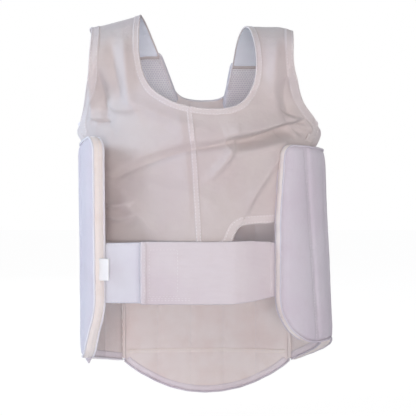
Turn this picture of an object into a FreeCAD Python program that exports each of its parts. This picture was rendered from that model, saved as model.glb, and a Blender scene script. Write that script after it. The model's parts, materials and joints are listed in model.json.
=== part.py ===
import FreeCAD, Part
import math
import os
import Sketcher

V = FreeCAD.Vector
doc = FreeCAD.newDocument("chest_protector")
sheet = doc.addObject("Spreadsheet::Sheet", "dim")
sheet.Label = "Dimensions"
row = 0
made = []


def cell(alias, value):
    """Write one named size, in mm or degrees, and return its name for use in expressions."""
    global row
    row += 1
    sheet.set(f"A{row}", alias)
    sheet.set(f"B{row}", f"{value:.4f}")
    sheet.setAlias(f"B{row}", alias)
    return f"dim.{alias}"


def size(alias):
    """The value of a named size."""
    return float(sheet.getContents(sheet.getCellFromAlias(alias)))


SIZES = {
    # padded front, bent about an upright axis behind the wearer
    "front_hub_x": -2, "front_hub_y": 524, "front_inner": 626,
    # wings, bent about their own upright axes
    "left_hub_x": -15, "left_hub_y": 5, "left_inner": 165,
    "right_hub_x": -46.4, "right_hub_y": -18.3, "right_inner": 105.6,
    # layers, from the wearer outwards
    "lining": 1.0, "foam": 12.0, "cover": 1.0, "layer_gap": 0.3, "channel": 1.6,
    "edge_strip": 2.0, "piping": 2.4, "cloth": 2.4, "binding": 3.4,
    # levels
    "wing_top": 78, "left_bottom": -222, "right_bottom": -222,
    "panel_seam": -214, "apron_seam": -216.4, "hem": -276,
    "band_bottom": -117, "band_height": 75, "band_thick": 2.4,
    "label_width": 12, "label_bottom": -88, "label_height": 26,
    # straps
    "left_strap_in": 84, "right_strap_in": -52, "strap_pad": 8.5, "strap_mesh": 2.0,
    "depth": 400,
}
for alias, value in SIZES.items():
    cell(alias, value)
doc.recompute()


def keep(obj, label):
    """Name an object as one of the object's pieces."""
    obj.Label = label
    made.append(obj)
    return obj


def bind(obj, **links):
    """Bind properties to expressions; a double underscore stands for a dot."""
    for prop, text in links.items():
        obj.setExpression(prop.replace("__", "."), text)


def boolean(kind, label, base, tool):
    obj = doc.addObject(f"Part::{kind}", label)
    obj.Base = base
    obj.Tool = tool
    return obj


def rod(label, hub, radius, low, height, start=None, sweep=None):
    """Upright cylinder, or a slice of one, about one of the named hubs."""
    obj = doc.addObject("Part::Cylinder", label)
    obj.Placement = FreeCAD.Placement(V(), FreeCAD.Rotation(V(0, 0, 1), 0 if start is None else start))
    bind(obj, Radius=radius, Height=height, Placement__Base__x=f"dim.{hub}_hub_x",
         Placement__Base__y=f"dim.{hub}_hub_y", Placement__Base__z=low)
    if sweep is not None:
        bind(obj, Angle=cell(f"{label}_sweep", sweep),
             Placement__Rotation__Angle=cell(f"{label}_start", start))
    return obj


def sector(label, hub, inner, outer, start, end, low, high):
    """Bent slab between two radii, two angles and two levels."""
    height = f"{high} - ({low})"
    skin = rod(f"{label}_skin", hub, outer, low, height, start, end - start)
    core = rod(f"{label}_core", hub, inner, f"{low} - 1", f"{height} + 2")
    return boolean("Cut", f"{label}_slab", skin, core)


PLANES = {
    "XY": FreeCAD.Rotation(),
    "XZ": FreeCAD.Rotation(V(1, 0, 0), 90),
    "YZ": FreeCAD.Rotation(V(1, 1, 1), 120),
}
NORMALS = {"XY": V(0, 0, 1), "XZ": V(0, 1, 0), "YZ": V(1, 0, 0)}


def arc_centre(p, q, bend):
    half = (q - p) * 0.5
    side = V(-half.y, half.x, 0).normalize()
    rise = math.sqrt(bend * bend - half.Length ** 2)
    return p + half + side * math.copysign(rise, bend)


def outline(label, plane, rows, at=0.0):
    """Closed sketch through (a, b, bend) rows; bend is the signed radius to the next row, 0 straight."""
    sk = doc.addObject("Sketcher::SketchObject", f"{label}_outline")
    sk.Placement = FreeCAD.Placement(NORMALS[plane] * at, PLANES[plane])
    spots = [V(a, b, 0) for a, b, _ in rows]
    for i, (_, _, bend) in enumerate(rows):
        p, q = spots[i], spots[(i + 1) % len(rows)]
        if bend:
            c = arc_centre(p, q, bend)
            first, last = (p, q) if bend > 0 else (q, p)
            angles = [math.atan2(s.y - c.y, s.x - c.x) for s in (first, last)]
            sk.addGeometry(Part.ArcOfCircle(Part.Circle(c, V(0, 0, 1), abs(bend)), *angles), False)
        else:
            sk.addGeometry(Part.LineSegment(p, q), False)
    ends = [(1, 2) if bend >= 0 else (2, 1) for _, _, bend in rows]
    for i in range(len(rows)):
        j = (i + 1) % len(rows)
        sk.addConstraint(Sketcher.Constraint("Coincident", i, ends[i][1], j, ends[j][0]))
    for i, (a, b, bend) in enumerate(rows):
        for kind, value, tag in (("DistanceX", a, "a"), ("DistanceY", b, "b")):
            k = sk.addConstraint(Sketcher.Constraint(kind, -1, 1, i, ends[i][0], value))
            sk.setExpression(f"Constraints[{k}]", cell(f"{label}_{tag}{i}", value))
        if bend:
            k = sk.addConstraint(Sketcher.Constraint("Radius", i, abs(bend)))
            sk.setExpression(f"Constraints[{k}]", cell(f"{label}_r{i}", abs(bend)))
    return sk


def prism(label, plane, rows, at=-200.0, depth="dim.depth"):
    """Straight solid from an outline, pushed along the plane's normal."""
    obj = doc.addObject("Part::Extrusion", f"{label}_prism")
    obj.Base = outline(label, plane, rows, at)
    obj.DirMode = "Custom"
    obj.Dir = NORMALS[plane]
    obj.Solid = True
    bind(obj, LengthFwd=depth)
    return obj


def clip(label, base, *tools):
    """Part of a solid that lies inside every tool."""
    for i, tool in enumerate(tools):
        base = boolean("Common", f"{label}_clip{i}", base, tool)
    return keep(base, label)


LAYERS = {}
for hub in ("front", "left", "right"):
    inner = f"dim.{hub}_inner"
    LAYERS[hub] = {
        "lining": (inner, f"{inner} + dim.lining"),
        "foam": (f"{inner} + dim.lining + dim.layer_gap",
                 f"{inner} + dim.lining + dim.layer_gap + dim.foam"),
        "cover": (f"{inner} + dim.lining + 2 * dim.layer_gap + dim.foam",
                  f"{inner} + dim.lining + 2 * dim.layer_gap + dim.foam + dim.cover"),
        "whole": (inner, f"{inner} + dim.lining + 2 * dim.layer_gap + dim.foam + dim.cover"),
        "edge": (f"{inner} - dim.piping / 2",
                 f"{inner} + dim.lining + 2 * dim.layer_gap + dim.foam + dim.cover + dim.piping / 2"),
    }


def slats(prefix, hub, first, last, count, low, high, *tools):
    """Foam slats side by side between sewn channels."""
    step = (last - first) / count
    gap = math.degrees(SIZES["channel"] / (SIZES[f"{hub}_inner"] + SIZES["foam"])) / 2
    for i in range(count):
        name = f"{prefix}_foam_{i + 1}"
        slab = sector(name, hub, *LAYERS[hub]["foam"], first + i * step + gap,
                      first + (i + 1) * step - gap, low, high)
        clip(name, slab, *tools)


def skin(label, hub, layer, first, last, low, high, *tools):
    clip(label, sector(label, hub, *LAYERS[hub][layer], first, last, low, high), *tools)


# Padded front: slats, linings, cover and bindings
ANGLES = (-101.2, -78.8)
chest = prism("chest", "XZ", [
    (-128, -230, 0), (126, -230, 0), (126, 80, -70), (92, 156, 0), (36, 156, -161),
    (-26, 156, 0), (-96, 156, -70), (-128, 80, 0)])
apron = prism("apron", "XZ", [
    (-118, -226, 0), (-102, -239, 180), (102, -238, 0), (116, -227, 0), (116, -170, 0), (-118, -170, 0)])
hem_outer = prism("hem_outer", "XZ", [
    (-124, -229, 0), (-104, -245, 176), (104, -244, 0), (122, -230, 0), (122, -216, 0), (-124, -216, 0)])
slats("front", "front", *ANGLES, 5, "dim.panel_seam", "dim.wing_top + 80", chest)
skin("front_lining", "front", "lining", *ANGLES, "dim.panel_seam", "dim.wing_top + 80", chest)
skin("front_outer_cover", "front", "cover", *ANGLES, "dim.panel_seam", "dim.wing_top + 80", chest)
for label, layer in (("apron_foam", "foam"), ("apron_lining", "lining"), ("apron_cover", "cover")):
    skin(label, "front", layer, -100.6, -79.4, "dim.hem - 4", "dim.apron_seam", apron)
hem_slab = sector("hem_binding", "front", *LAYERS["front"]["whole"], -101.2, -78.8, "dim.hem - 4",
                  "dim.apron_seam")
hem_ring = boolean("Common", "hem_ring", hem_slab, hem_outer)
hem_core = prism("hem_core", "XZ", [
    (-118.4, -226.2, 0), (-102.2, -239.4, 180.3), (102.2, -238.4, 0), (116.4, -227.2, 0),
    (116.4, -170, 0), (-118.4, -170, 0)])
keep(boolean("Cut", "front_hem", hem_ring, hem_core), "front_hem_binding")
neck_slab = sector("front_neck", "front", *LAYERS["front"]["whole"], -93.3, -85.7, "dim.wing_top + 60",
                   "dim.wing_top + 84")
clip("front_neck_binding", neck_slab, prism("front_neck", "XZ", [
    (-26, 156.6, 161), (36, 156.6, 0), (36, 160, -158), (-26, 160, 0)]))

# Wings: slats, lining, cover, edge strip and piping
WINGS = {
    "left": {"plane": "YZ", "angles": (-34.4, 40.0), "bottom": "dim.left_bottom",
             "rim": [(-120, -222, 0), (48.55, -188.29, 64), (100, -125.53, 0), (100, 87, 0), (30, 78, 0),
                     (-120, 78, 0)],
             "core": [(-120, -219.35, 0), (48.04, -185.74, 61.4), (97.4, -125.53, 0), (97.4, 84.04, 0),
                      (30.2, 75.4, 0), (-120, 75.4, 0)],
             "slats": (-34.4, 36.4)},
    "right": {"plane": "XZ", "angles": (111.4, 221.6), "bottom": "dim.right_bottom",
              "rim": [(-190, -172, 0), (-150, -172, 66), (-84, -106, 0), (-84, 78, 0), (-190, 78, 0)],
              "core": [(-190, -169.4, 0), (-150, -169.4, 63.4), (-86.6, -106, 0), (-86.6, 75.4, 0),
                       (-190, 75.4, 0)],
              "front_rim": [(-120, -222, 0), (-9, -172, 0), (0, -172, 0), (0, 78, 0), (-120, 78, 0)],
              "front_core": [(-120, -219.15, 0), (-9.57, -169.4, 0), (0, -169.4, 0), (0, 75.4, 0),
                             (-120, 75.4, 0)],
              "slats": (112.8, 221.6)},
}


def grown(rows):
    """Outline rows moved out by a hair, so the foam and its edge strip don't touch."""
    return [(a if a < -115 else a + 0.3, b + math.copysign(0.3, b), bend + (0.3 if bend else 0))
            for a, b, bend in rows]


def wing_prism(label, wing, tag, change=list):
    """Outline prism of a wing; where the front half slopes down to the hem it has its own outline."""
    body = prism(label, wing["plane"], change(wing[tag]))
    if f"front_{tag}" not in wing:
        return body
    return boolean("Fuse", f"{label}_both", body, prism(f"{label}_front", "YZ", change(wing[f"front_{tag}"])))


for side, wing in WINGS.items():
    low, high = f"{wing['bottom']} - 2", "dim.wing_top + 12"
    core = wing_prism(f"{side}_core", wing, "core")
    rim = wing_prism(f"{side}_rim", wing, "rim")
    hollow = wing_prism(f"{side}_hollow", wing, "core", grown)
    first, last = wing["slats"]
    inset = boolean("Common", f"{side}_inset", hollow, sector(
        f"{side}_inside", side, f"dim.{side}_inner - 8", f"dim.{side}_inner + 24", first - 0.15,
        last + 0.15, low, high))
    slats(f"{side}_wing", side, *wing["slats"], 4, low, high, core)
    skin(f"{side}_wing_lining", side, "lining", *wing["slats"], low, high, core)
    skin(f"{side}_wing_cover", side, "cover", *wing["slats"], low, high, core)
    inner, outer = LAYERS[side]["whole"]
    for label, near, far in (
            ("edge", inner, outer), ("outer_piping", f"{outer} + 0.1", f"{outer} + dim.piping"),
            ("inner_piping", f"{inner} - dim.piping", f"{inner} - 0.1")):
        name = f"{side}_wing_{label}"
        slab = sector(name, side, near, far, *wing["angles"], low, high)
        keep(boolean("Cut", f"{name}_ring", boolean("Common", f"{name}_rim", slab, rim), inset), name)
anchor = sector("band_anchor", "right", "dim.right_inner - dim.band_thick - 0.3", "dim.right_inner - 0.3",
                115.0, 124.0, "dim.band_bottom + 8", "dim.band_bottom + dim.band_height")
keep(anchor, "band_anchor")

# Underarm gussets and armhole bindings
for side, first, last in (("left", -30.0, 2.0), ("right", 166.0, 214.0)):
    inner = f"dim.{side}_inner"
    slab = sector(f"underarm_gusset_{side}", side, f"{inner} + 1", f"{inner} + 12", first, last,
                  "dim.wing_top + 3", "dim.wing_top + 32")
    keep(slab, f"underarm_gusset_{side}")
    slab = sector(f"armhole_binding_{side}", side, f"{inner}", f"{inner} + 13", first, last,
                  "dim.wing_top + 32.4", "dim.wing_top + 38")
    keep(slab, f"armhole_binding_{side}")


def arc_strip(label, level, left, middle, right, thick, lift):
    """Thin arc in plan through three points, pushed out by lift: one section of the back yoke."""
    (x1, y1), (x2, y2), (x3, y3) = left, middle, right
    d = 2 * (x1 * (y2 - y3) + x2 * (y3 - y1) + x3 * (y1 - y2))
    q1, q2, q3 = x1 * x1 + y1 * y1, x2 * x2 + y2 * y2, x3 * x3 + y3 * y3
    hub = V((q1 * (y2 - y3) + q2 * (y3 - y1) + q3 * (y1 - y2)) / d,
            (q1 * (x3 - x2) + q2 * (x1 - x3) + q3 * (x2 - x1)) / d, 0)
    radius = (V(x1, y1, 0) - hub).Length + lift
    rows = []
    for reach, ends in ((radius + thick / 2, (left, right)), (radius - thick / 2, (right, left))):
        for i, (x, y) in enumerate(ends):
            spot = hub + (V(x, y, 0) - hub).normalize() * reach
            bend = 0 if i else (reach if reach > radius else -reach)
            rows.append((spot.x, spot.y, bend))
    return outline(label, "XY", rows, level)


# Back yoke: a loft through arcs, cut by its outline and parted at the centre seam
LEVELS = [
    (-62, (135, 45), (6, 97), (-124, 40)), (20, (137, 43), (7, 97), (-124, 40)),
    (76, (138, 42), (8, 97), (-124, 40)), (126, (146, 30), (10, 93), (-134, 28)),
    (181, (150, 74), (14, 76.5), (-122, 74))]


def yoke_sheet(label, lift, thick):
    loft = doc.addObject("Part::Loft", f"{label}_loft")
    loft.Sections = [arc_strip(f"{label}_{i}", level, *ends, thick, lift)
                     for i, (level, *ends) in enumerate(LEVELS)]
    loft.Solid = True
    loft.Ruled = False
    return loft


NECK = [(84, 181, -95), (50, 138, -100), (-44, 127, -70), (-66, 181, 0)]
yoke = yoke_sheet("yoke", 0, SIZES["cloth"])
left_half = prism("left_half", "XZ", [
    (4.9, -62, 0), (160, -62, 0), (160, 100, 0), (147, 146, 0), (143, 181, 0), (84, 181, -95),
    (52, 140.5, -104), (18.8, 127.5, 0)])
right_half = prism("right_half", "XZ", [
    (3.7, -42, 0), (17.6, 127.4, -104), (-44, 130.6, -70), (-66, 181, 0), (-110, 181, 0),
    (-114, 146, 0), (-146, 100, 0), (-146, -12, 0), (-46, -12, 0)])
clip("yoke_left", yoke, left_half)
clip("yoke_right", yoke, right_half)
tape = yoke_sheet("tape", SIZES["cloth"] / 2 + 0.8, 1.0)
clip("centre_seam_tape", tape, prism("tape", "XZ", [
    (0.8, -56, 0), (8.2, -56, 0), (21.9, 118, 0), (14.3, 118, 0)]))
clip("yoke_hem_right", tape, prism("yoke_hem", "XZ", [
    (-120, -9, 0), (-48, -9, 0), (-6, -36, 0), (-4, -24, 0), (-44, 6, 0), (-120, 6, 0)]))
clip("back_neck_binding", tape, prism("back_neck", "XZ", [
    (48, 135.6, 0), (54.5, 142, -104), (-47.5, 131.6, 0), (-41, 124.6, 104)]))

# Straps: back cloth over the top, seam, and padded front with its mesh
STRAPS = {
    "left": {"drop": 0, "back": [(84, 181.4, 0), (143, 181.4, 0), (152, 262, 0), (84, 262, 0)],
             "front": [(38, 158, 0), (92, 158, 0), (146, 217, 0), (146, 240, 0), (76, 240, 0), (76, 217, 0)]},
    "right": {"drop": 14, "back": [(-110, 181.4, 0), (-66, 181.4, 0), (-52, 262, 0), (-118, 262, 0)],
              "front": [(-96, 158, 0), (-28, 158, 0), (-42, 203, 0), (-42, 240, 0), (-112, 240, 0),
                        (-112, 203, 0)]},
}
for side, strap in STRAPS.items():
    drop = strap["drop"]
    back = prism(f"{side}_back", "XZ", strap["back"])
    front = prism(f"{side}_front", "XZ", strap["front"])
    arch = prism(f"{side}_arch", "YZ", [
        (77, 181.4 - drop, 77), (-66.7, 219.5 - drop, 0), (-64.6, 218.4 - drop, -74.6),
        (74.6, 181.4 - drop, 0)])
    clip(f"back_strap_{side}", arch, back)
    pad = prism(f"{side}_pad", "YZ", [
        (-102, 158, 0), (-75.5, 193 - drop, 0), (-67.5, 212.5 - drop, 0), (-74.5, 217.5 - drop, 0),
        (-84, 196 - drop, 0), (-112, 158, 0)])
    clip(f"front_strap_{side}", pad, front)
    mesh = prism(f"{side}_mesh", "YZ", [
        (-99, 158, 0), (-73, 192 - drop, 0), (-65, 211 - drop, 0), (-67.1, 212 - drop, 0),
        (-75.1, 192.9 - drop, 0), (-101.6, 158, 0)])
    clip(f"strap_mesh_{side}", mesh, front)
    seam = prism(f"{side}_seam", "YZ", [
        (-67.2, 213.4 - drop, 0), (-64.7, 217.5 - drop, 0), (-67.3, 219.0 - drop, 0),
        (-74.2, 218.4 - drop, 0)])
    clip(f"shoulder_seam_{side}", seam, front)


def upright(label, rows, low, height):
    """Thin plan outline pushed upwards: band, tab and label parts."""
    obj = doc.addObject("Part::Extrusion", f"{label}_upright")
    obj.Base = outline(label, "XY", rows, low)
    obj.DirMode = "Custom"
    obj.Dir = V(0, 0, 1)
    obj.Solid = True
    bind(obj, LengthFwd=height)
    return keep(obj, label)


# Waist band over the loop tab, and the care label
LOW = SIZES["band_bottom"]
upright("elastic_band", [
    (-81.6, 79.2, 0), (-46, 100.2, -26), (-33, 103.6, 0), (72, 103.6, 0), (72, 106, 0), (-33, 106, 28.4),
    (-47.2, 102.3, 0), (-82.8, 81.3, 0)], LOW, "dim.band_height")
upright("band_end_hem", [(72.4, 103.2, 0), (78, 103.2, 0), (78, 107, 0), (72.4, 107, 0)], LOW,
        "dim.band_height")
upright("hook_patch", [(34, 102.4, 0), (70, 102.4, 0), (70, 103.3, 0), (34, 103.3, 0)], LOW + 8,
        "dim.band_height - 16")
upright("loop_tab_base", [(30, 98.9, 0), (114.6, 98.9, 0), (114.6, 100.7, 0), (30, 100.7, 0)], LOW,
        "dim.band_height")
upright("loop_patch", [(33, 101, 0), (72, 101, 0), (72, 101.9, 0), (33, 101.9, 0)], LOW + 6,
        "dim.band_height - 12")
upright("care_label", [(117, 101.4, 0), (129, 101.4, 0), (129, 102.4, 0), (117, 102.4, 0)],
        SIZES["label_bottom"], "dim.label_height")

doc.recompute()
for obj in doc.Objects:
    if "Invalid" in obj.State or "Error" in obj.State:
        raise RuntimeError(f"{obj.Label}: {obj.State}")
    if hasattr(obj, "Shape") and (obj.Shape.isNull() or not obj.Shape.isValid()):
        raise RuntimeError(f"{obj.Label}: bad shape")
os.makedirs("parts", exist_ok=True)
for obj in made:
    if not obj.Shape.Solids:
        raise RuntimeError(f"{obj.Label}: no solid")
    obj.Shape.exportStep(f"parts/{obj.Label}.step")
print(len(made), "pieces")
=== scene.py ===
import json
import math
import bpy
import numpy as np
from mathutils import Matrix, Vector, geometry

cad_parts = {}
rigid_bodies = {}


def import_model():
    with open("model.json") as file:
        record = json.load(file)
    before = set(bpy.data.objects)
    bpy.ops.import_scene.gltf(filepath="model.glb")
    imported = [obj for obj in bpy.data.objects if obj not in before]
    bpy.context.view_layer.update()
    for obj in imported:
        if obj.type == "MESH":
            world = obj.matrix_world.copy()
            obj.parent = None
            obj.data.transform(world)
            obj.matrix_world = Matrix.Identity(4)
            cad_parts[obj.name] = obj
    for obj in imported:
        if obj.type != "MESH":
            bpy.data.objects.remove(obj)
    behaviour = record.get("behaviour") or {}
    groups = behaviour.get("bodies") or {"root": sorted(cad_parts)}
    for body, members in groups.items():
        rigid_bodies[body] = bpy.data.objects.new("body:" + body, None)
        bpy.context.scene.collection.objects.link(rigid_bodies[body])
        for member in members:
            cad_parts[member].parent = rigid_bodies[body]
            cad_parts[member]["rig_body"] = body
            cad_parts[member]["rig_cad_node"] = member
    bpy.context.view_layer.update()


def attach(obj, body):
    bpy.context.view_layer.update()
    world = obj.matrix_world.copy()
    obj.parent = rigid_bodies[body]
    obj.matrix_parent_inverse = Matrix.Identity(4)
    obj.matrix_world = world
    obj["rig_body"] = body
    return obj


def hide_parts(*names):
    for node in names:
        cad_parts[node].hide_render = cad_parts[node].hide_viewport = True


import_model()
MM = 0.001
TINY = 1e-12   # keeps a zero length from being divided by
COARSE = 1.0


# ---- curves in the plane and in space

def run_length(pts):
    """How far along a run of points each one lies."""
    return np.r_[0, np.cumsum(np.linalg.norm(np.diff(pts, axis=0), axis=1))]


def unit(rows):
    """Each row divided by its own length."""
    return rows / (np.linalg.norm(rows, axis=-1, keepdims=True) + TINY)


def at_ways(at, way, pts):
    """Points at the given distances along a run."""
    return np.stack([np.interp(at, way, pts[:, i]) for i in range(pts.shape[1])], 1)


def resample(points, step, closed=False):
    """Points evenly spaced along a run of points, about step apart."""
    pts = np.asarray(points, float)
    if closed:
        pts = np.vstack([pts, pts[:1]])
    pts = pts[np.r_[True, np.linalg.norm(np.diff(pts, axis=0), axis=1) > 1e-9]]
    way = run_length(pts)
    count = max(2, int(round(way[-1] / step)) + 1)
    out = at_ways(np.linspace(0, way[-1], count), way, pts)
    return out[:-1] if closed else out


def smooth(points, fine=12):
    """Catmull-Rom curve through points, finely sampled."""
    pts = np.asarray(points, float)
    if len(pts) < 3:
        return pts
    ext = np.vstack([2 * pts[0] - pts[1], pts, 2 * pts[-1] - pts[-2]])
    t = np.linspace(0, 1, fine, endpoint=False)[:, None]
    out = [0.5 * (2 * b + (c - a) * t + (2 * a - 5 * b + 4 * c - d) * t ** 2 + (3 * b - a - 3 * c + d) * t ** 3)
           for a, b, c, d in zip(ext, ext[1:], ext[2:], ext[3:])]
    return np.vstack([*out, pts[-1]])


def rim_of(*runs):
    """Closed outline from runs, each smooth inside, with corners where runs meet."""
    return np.vstack([smooth(run)[:-1] for run in runs])


def offset(line, by):
    """A plane curve moved to its left by a distance."""
    pts = np.asarray(line, float)
    way = unit(np.vstack([pts[1:], pts[-1:]]) - np.vstack([pts[:1], pts[:-1]]))
    return pts + np.stack([-way[:, 1], way[:, 0]], 1) * by


def inside(ring, pts):
    """Which points lie inside a closed outline."""
    hit = np.zeros(len(pts), bool)
    x, y = pts[:, 0], pts[:, 1]
    for (x1, y1), (x2, y2) in zip(ring, np.roll(ring, -1, 0)):
        if y1 == y2:
            continue
        cross = (y1 > y) != (y2 > y)
        hit ^= cross & (x < (x2 - x1) * (y - y1) / (y2 - y1) + x1)
    return hit


def near(line, pts):
    """Distance of points from a plane line, how far along it each foot lies (0 to 1), and the side (left is 1)."""
    line = np.asarray(line, float)
    seg = np.diff(line, axis=0)
    size = np.linalg.norm(seg, axis=1)
    way = run_length(line)
    best, along, side = np.full(len(pts), 1e9), np.zeros(len(pts)), np.ones(len(pts))
    for i in np.flatnonzero(size > 1e-9):
        v = pts - line[i]
        t = np.clip((v @ seg[i]) / size[i] ** 2, 0, 1)
        d = np.linalg.norm(v - t[:, None] * seg[i], axis=1)
        closer = d < best
        best[closer] = d[closer]
        along[closer] = ((way[i] + t * size[i]) / way[-1])[closer]
        side[closer] = np.sign(seg[i][0] * v[:, 1] - seg[i][1] * v[:, 0])[closer]
    return best, along, side


def ripple(p, scale, seed, stretch=(1, 1)):
    """Smooth random height at plane points, about -1 to 1: a few sums of tilted waves."""
    r = np.random.default_rng(seed)
    out = np.zeros(len(p))
    q = p / scale * np.asarray(stretch)
    for octave in range(2):
        for _ in range(5):
            turn, phase = r.uniform(0, 2 * math.pi, 2)
            bend = r.uniform(0.2, 0.5)
            u = q @ np.array([math.cos(turn), math.sin(turn)]) * 2 ** octave
            v = q @ np.array([-math.sin(turn), math.cos(turn)]) * 2 ** octave
            out += np.sin(2 * math.pi * (u + bend * np.sin(2 * math.pi * v * 0.31 + phase)) * 0.8
                          + phase) / 5 / 1.6 ** octave
    return out


# ---- meshes

def build(name, verts, faces, uvs, material):
    """Mesh object from points in millimetres; uvs are real lengths on the cloth, one pair per point."""
    mesh = bpy.data.meshes.new(name)
    verts = np.asarray(verts, float) * MM
    mesh.from_pydata(verts.tolist(), [], [list(map(int, f)) for f in faces])
    mesh.update()
    layer = mesh.uv_layers.new(name="UVMap")
    loops = np.zeros(len(mesh.loops), int)
    mesh.loops.foreach_get("vertex_index", loops)
    layer.data.foreach_set("uv", (np.asarray(uvs, float)[loops] * MM).ravel())
    mesh.polygons.foreach_set("use_smooth", [True] * len(mesh.polygons))
    obj = bpy.data.objects.new(name, mesh)
    bpy.context.scene.collection.objects.link(obj)
    mesh.materials.append(material)
    return obj


def put(obj, slot, body, *nodes):
    """Give a piece the body that it rides on and hide the CAD nodes that it replaces; slot is not used."""
    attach(obj, body)
    if nodes:
        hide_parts(*nodes)
    return obj


def normals_of(place, p, step=0.4):
    """Unit normals of a placed surface, from nearby points."""
    du, dv = np.array([step, 0]), np.array([0, step])
    return unit(np.cross(place(p + du) - place(p - du), place(p + dv) - place(p - dv)))


def lifted(place, by, step=0.4):
    """The same surface moved along its normal."""
    return lambda p: place(p) + normals_of(place, p, step) * by


def fill(ring, step):
    """Points and triangles that fill a closed plane outline."""
    step *= COARSE
    edge = resample(ring, step, closed=True)
    lo, hi = edge.min(0), edge.max(0)
    xs = np.arange(lo[0], hi[0] + step, step)
    ys = np.arange(lo[1], hi[1] + step, step * 0.87)
    grid = np.array([(x + (j % 2) * step / 2, y) for j, y in enumerate(ys) for x in xs])
    grid = grid[inside(edge, grid)]
    grid = grid[near(np.vstack([edge, edge[:1]]), grid)[0] > step * 0.55]
    pts = np.vstack([edge, grid])
    n = len(edge)
    links = [(i, (i + 1) % n) for i in range(n)]
    out, _, tris = geometry.delaunay_2d_cdt([Vector(q) for q in pts.tolist()], links, [list(range(n))], 1, 1e-6)[:3]
    return np.array([(v.x, v.y) for v in out]), [tuple(t) for t in tris]


def slab(name, pts, cells, place, material, thick, round_edge):
    """Plane faces laid on a placed surface, as a closed sheet of cloth with a sharp or a soft edge."""
    mid, nor = place(pts), normals_of(place, pts)
    count = len(pts)
    sides = dict.fromkeys(pair for f in cells for pair in zip(f, f[1:] + f[:1]))
    rim = [(a, b) for a, b in sides if (b, a) not in sides]
    faces = cells + [tuple(i + count for i in reversed(f)) for f in cells]
    verts, uvs = np.vstack([mid + nor * thick / 2, mid - nor * thick / 2]), np.vstack([pts, pts])
    if round_edge:
        used = sorted({i for pair in rim for i in pair})
        spot = {v: 2 * count + i for i, v in enumerate(used)}
        after, before = dict(rim), {b: a for a, b in rim}
        way = unit(pts[[after.get(v, v) for v in used]] - pts[[before.get(v, v) for v in used]])
        out = np.stack([way[:, 1], -way[:, 0]], 1)
        base = pts[used]
        push = unit(place(base + out * 0.4) - place(base))
        verts = np.vstack([verts, mid[used] + push * thick * 0.45])
        uvs = np.vstack([uvs, base + out * thick * 0.5])
        for a, b in rim:
            faces += [(b, a, spot[a], spot[b]), (spot[b], spot[a], a + count, b + count)]
    else:
        faces += [(b, a, a + count, b + count) for a, b in rim]
    return build(name, verts, faces, uvs, material)


def patch(name, ring, place, material, thick=1.6, step=2.2, round_edge=True):
    """Cloth cut to a plane outline and laid on a placed surface."""
    return slab(name, *fill(ring, step), place, material, thick, round_edge)


def frames_along(pts):
    """Steady cross directions along a space curve."""
    ahead = np.roll(pts, -1, 0) - np.roll(pts, 1, 0)
    ahead[0], ahead[-1] = pts[1] - pts[0], pts[-1] - pts[-2]
    way = unit(ahead)
    side = np.cross(way[0], [0, 0, 1.0])
    if np.linalg.norm(side) < 0.1:
        side = np.cross(way[0], [0, 1.0, 0])
    sides = []
    for w in way:
        side = unit(side - w * (side @ w))
        sides.append(side)
    return np.array(sides), np.cross(way, sides)


def belt(rings, sides, base=0):
    """Faces that join each ring of points to the next."""
    return [(base + i * sides + k, base + i * sides + m, base + (i + 1) * sides + m, base + (i + 1) * sides + k)
            for i in range(rings - 1) for k, m in enumerate([*range(1, sides), 0])]


def tube(name, pts, radius, material, sides=10):
    """Round cord or rolled edge along a space curve; radius is one size or one for each point."""
    pts = np.asarray(pts, float)
    across, up = frames_along(pts)
    n = len(pts)
    turn = np.linspace(0, 2 * math.pi, sides, endpoint=False)
    sizes = np.broadcast_to(np.asarray(radius, float), n)
    verts = np.vstack([p + (np.outer(np.cos(turn), a) + np.outer(np.sin(turn), b)) * r
                       for p, a, b, r in zip(pts, across, up, sizes)])
    uvs = np.array([(w, r * a) for w, r in zip(run_length(pts), sizes) for a in turn])
    ends = [tuple(range(sides))[::-1], tuple((n - 1) * sides + k for k in range(sides))]
    return build(name, verts, belt(n, sides) + ends, uvs, material)


def sew(name, pts, nor, body, radius=0.34):
    """A row of thread stitches lying on a surface along a space curve."""
    dash, gap = 2.6, 1.5
    way = run_length(pts)
    verts, faces, uvs = [], [], []
    ring = np.linspace(0, 2 * math.pi, 6, endpoint=False)
    profile = [(0.0, 0.25, -0.5), (0.18, 0.9, 0.25), (0.5, 1.0, 0.55), (0.82, 0.9, 0.25), (1.0, 0.25, -0.5)]
    for start in np.arange(0.5, way[-1] - dash, dash + gap):
        at = [start + f * dash for f, _, _ in profile]
        p, up = at_ways(at, way, pts), unit(at_ways(at, way, nor))
        side = np.cross(unit(p[-1] - p[0]), up)
        base = len(verts)
        for q, u, s, (_, size, lift) in zip(p, up, side, profile):
            for a in ring:
                verts.append(q + (s * math.cos(a) + u * math.sin(a)) * radius * size + u * radius * lift)
                uvs.append((start, a))
        faces += belt(len(profile), len(ring), base)
    put(build(name, verts, faces, uvs, M_THREAD), "binding_tape", body)


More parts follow.
